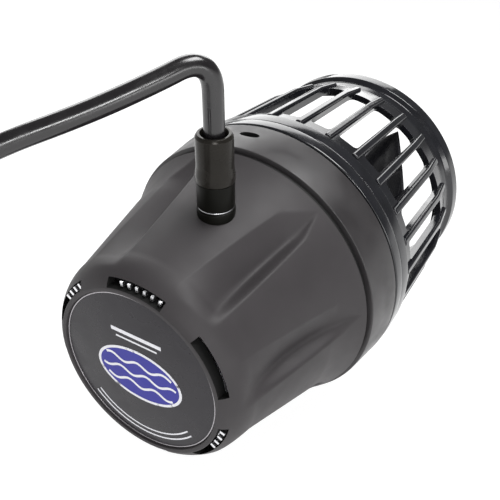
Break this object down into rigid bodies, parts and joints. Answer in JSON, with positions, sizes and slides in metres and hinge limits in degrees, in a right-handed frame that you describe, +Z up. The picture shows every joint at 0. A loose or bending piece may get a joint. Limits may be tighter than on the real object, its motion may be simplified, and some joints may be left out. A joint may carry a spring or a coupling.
{
  "type": "wave maker pump",
  "caption": "Magnetic-mount wave maker pump lying on its side: fluted dry motor housing with cable gland and corded plug, ribbed wet cage with propeller.",
  "frame": {"origin": "under the middle of the pump itself, without its cord, on the surface it lies on", "axes": "+Z up, +Y towards the outlet end in plan, +X to the right seen from behind the motor housing; the pump's own axis leans up by 14.1 degrees towards +Y because the pump lies on its collar and rear shoulder"},
  "size_m": [0.1169, 0.2922, 0.1233],
  "materials": {
    "housing": "matte moulded charcoal",
    "collar": "satin moulded dark grey",
    "label": "printed vinyl disc, satin",
    "gasket": "black rubber",
    "face": "smooth black",
    "alloy": "machined and anodised",
    "steel": "turned or pressed steel",
    "laminations": "stacked electrical steel",
    "copper": "enamelled copper wire",
    "board": "green circuit board",
    "chip": "black sensor package",
    "magnet": "nickel plated",
    "gland_black": "black nylon, satin",
    "gland_sleeve": "dark bronze-grey, semi-gloss",
    "seal": "soft black",
    "cord": "semi-gloss dark grey jacket",
    "wet_plastic": "glossy black",
    "pad": "soft black",
    "ceramic": "polished white ceramic",
    "blade": "glossy black",
    "bush": "off-white bearing plastic",
    "wire": "coloured wire insulation",
    "plug_plastic": "black, satin"
  },
  "bodies": {
    "dry_side": {"motor_housing": "housing", "rear_label": "label", "housing_gasket": "gasket", "collar": "collar", "face_plate": "face", "motor_plate": "alloy", "housing_screws": "steel", "motor_bolts": "steel", "motor_can": "steel", "stator_core": "laminations", "stator_coils": "copper", "heat_sink": "alloy", "sensor_board": "board", "hall_sensors": "chip", "bearing_outer_races": "steel", "bearing_balls": "steel", "bearing_retaining_ring": "steel", "gland_foot": "gland_black", "gland_nut": "gland_black", "gland_seal": "seal", "gland_sleeve": "gland_sleeve", "lead_wires": "wire", "cord_lead": "cord", "cord_coil": "cord", "cord_tail": "cord", "plug_body": "plug_plastic", "plug_barrel": "steel", "plug_nut": "plug_plastic", "plug_pins": "steel"},
    "rotor": {"bearing_inner_races": "steel", "motor_shaft": "steel", "rotor_core": "laminations", "rotor_magnets": "magnet", "drive_plate": "steel", "drive_magnets": "magnet", "drive_clip": "steel"},
    "wet_side": {"wet_base": "wet_plastic", "bumper_pads": "pad", "cage_screws": "steel", "cage": "wet_plastic", "outlet_ring": "wet_plastic", "shaft_cap": "wet_plastic", "wet_shaft": "ceramic", "thrust_washers": "bush"},
    "propeller": {"magnet_carrier": "blade", "driven_magnets": "magnet", "propeller": "blade", "propeller_bushes": "bush"}
  },
  "joints": [
    {"name": "rotor_spin", "type": "hinge", "parent": "dry_side", "child": "rotor", "pos_m": [0, -0.01456, 0.04517], "axis": [0, 0.9698, 0.2439], "continuous": true},
    {"name": "wet_slide", "type": "slide", "parent": "dry_side", "child": "wet_side", "axis": [0, 0.9698, 0.2439], "range_m": [0, 0.019]},
    {"name": "propeller_spin", "type": "hinge", "parent": "wet_side", "child": "propeller", "pos_m": [0, 0.02908, 0.05614], "axis": [0, 0.9698, 0.2439], "continuous": true}
  ],
  "couplings": [
    {"joint": "propeller_spin", "follows": "rotor_spin", "ratio": 1}
  ]
}
